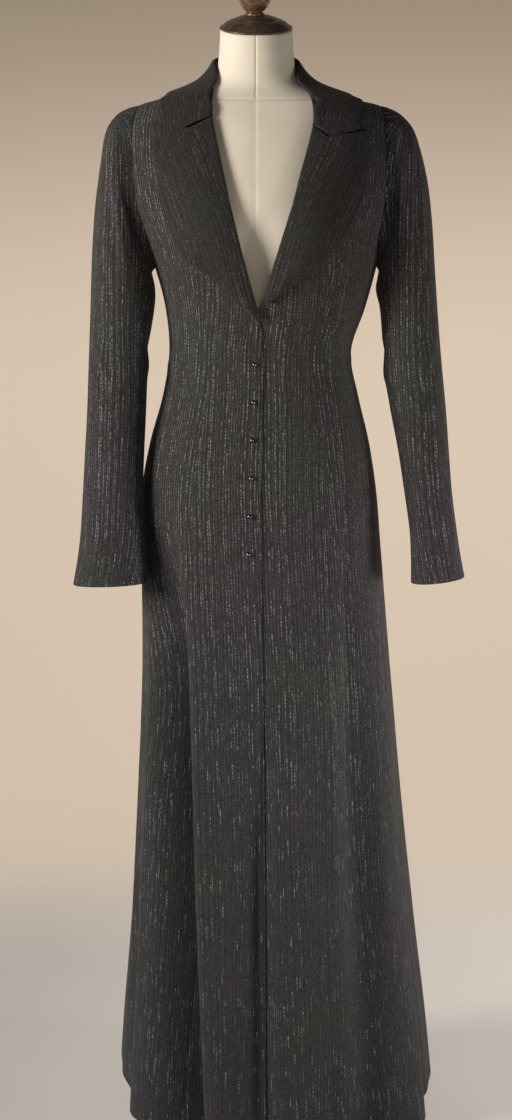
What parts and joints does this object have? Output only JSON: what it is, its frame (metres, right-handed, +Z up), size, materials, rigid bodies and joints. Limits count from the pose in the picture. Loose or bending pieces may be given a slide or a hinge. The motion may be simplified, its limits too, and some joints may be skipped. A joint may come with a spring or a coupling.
{
  "type": "evening coat on a dress form",
  "caption": "Full-length fitted evening coat with peaked lapels, long sleeves and a flared, fastened front, worn by a limbless dress form on a stand.",
  "frame": {"origin": "middle of the whole object's box, on the floor under the base", "axes": "+Z up, -Y out of the front of the coat, +X towards the wearer's left"},
  "size_m": [0.532, 0.4808, 1.5537],
  "materials": {
    "coat_cloth": "soft wool with fine broken stripes of light stitching",
    "turned_cloth": "the same cloth, on the lapels and collar",
    "button": "dark nickel plate, polished",
    "form_cover": "tight plain-woven cotton",
    "cap_wood": "stained and varnished",
    "pole_metal": "satin black paint",
    "base_wood": "stained and varnished"
  },
  "bodies": {
    "root": {"front_right": "coat_cloth", "side_front_right": "coat_cloth", "side_back_right": "coat_cloth", "back_right": "coat_cloth", "upper_sleeve_right": "coat_cloth", "under_sleeve_right": "coat_cloth", "lapel_right": "turned_cloth", "front_left": "coat_cloth", "side_front_left": "coat_cloth", "side_back_left": "coat_cloth", "back_left": "coat_cloth", "upper_sleeve_left": "coat_cloth", "under_sleeve_left": "coat_cloth", "lapel_left": "turned_cloth", "collar_fall": "turned_cloth", "collar_stand": "turned_cloth", "button_1": "button", "button_2": "button", "button_3": "button", "button_4": "button", "button_5": "button", "button_6": "button", "form_torso": "form_cover", "neck_cap": "cap_wood", "finial": "cap_wood", "form_pole": "pole_metal", "form_base": "base_wood"}
  },
  "joints": []
}
